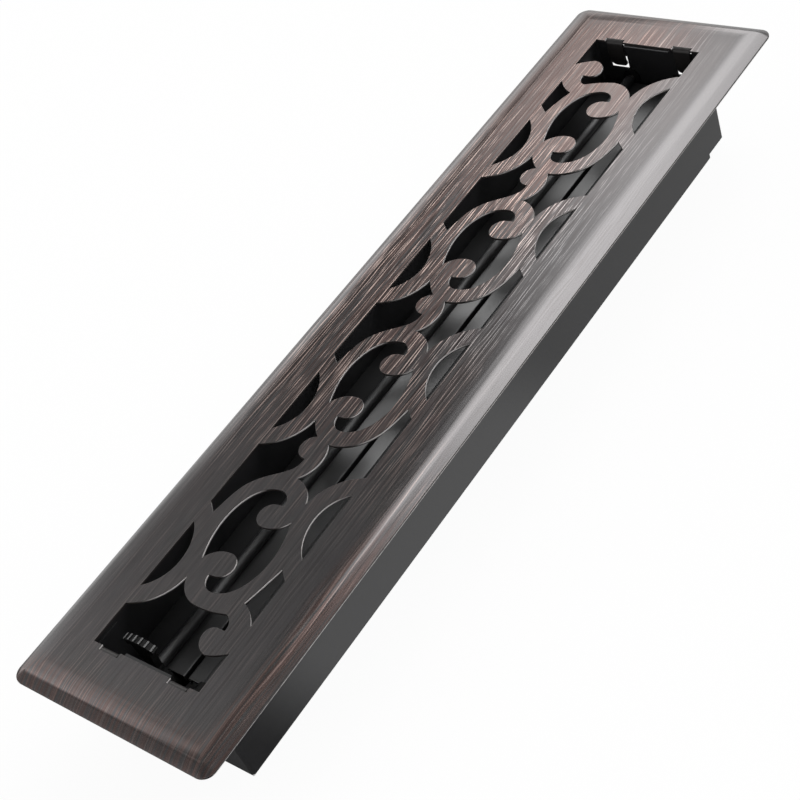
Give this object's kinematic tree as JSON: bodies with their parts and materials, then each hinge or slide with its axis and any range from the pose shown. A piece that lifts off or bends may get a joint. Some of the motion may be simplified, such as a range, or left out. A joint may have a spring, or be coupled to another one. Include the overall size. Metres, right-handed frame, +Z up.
{
  "type": "floor register",
  "caption": "Floor register: rectangular stamped scroll grille plate with a rolled rim, hooked onto a folded sheet-steel damper box with linked blades turned by a thumb lever.",
  "frame": {"origin": "middle of the box's bottom, on the plane the box rests on", "axes": "+Z up out of the floor, +Y along the register towards the end away from the thumb lever, +X across it"},
  "size_m": [0.0952, 0.3938, 0.0487],
  "materials": {
    "bronze_finish": "brushed oil-rubbed bronze, clear coated",
    "box_paint": "satin black paint",
    "blade_paint": "satin black paint",
    "rod_steel": "drawn steel wire",
    "link_steel": "satin black paint",
    "lever_plastic": "moulded, fine texture",
    "bush_plastic": "moulded"
  },
  "bodies": {
    "frame": {"face_plate": "bronze_finish", "box_half_right": "box_paint", "box_half_left": "box_paint", "bush_near_left": "bush_plastic", "bush_near_right": "bush_plastic", "bush_far_left": "bush_plastic", "bush_far_right": "bush_plastic"},
    "left_blade": {"blade_left": "blade_paint", "rod_left": "rod_steel", "thumb_lever": "lever_plastic", "link_pin_left": "rod_steel"},
    "right_blade": {"blade_right": "blade_paint", "rod_right": "rod_steel", "crank_right": "lever_plastic", "link_pin_right": "rod_steel"},
    "link": {"link_bar": "link_steel"}
  },
  "joints": [
    {"name": "lever_turn", "type": "hinge", "parent": "frame", "child": "left_blade", "pos_m": [-0.0117, 0, 0.02995], "axis": [0, 1, 0], "range_deg": [0, 80]},
    {"name": "blade_turn", "type": "hinge", "parent": "frame", "child": "right_blade", "pos_m": [0.0117, 0, 0.02995], "axis": [0, 1, 0], "range_deg": [0, 80]},
    {"name": "link_turn", "type": "hinge", "parent": "left_blade", "child": "link", "pos_m": [-0.00624, -0.1675, 0.02344], "axis": [0, 1, 0], "range_deg": [-82, 2]}
  ],
  "couplings": [
    {"joint": "blade_turn", "follows": "lever_turn", "ratio": 1},
    {"joint": "link_turn", "follows": "lever_turn", "ratio": -1}
  ]
}
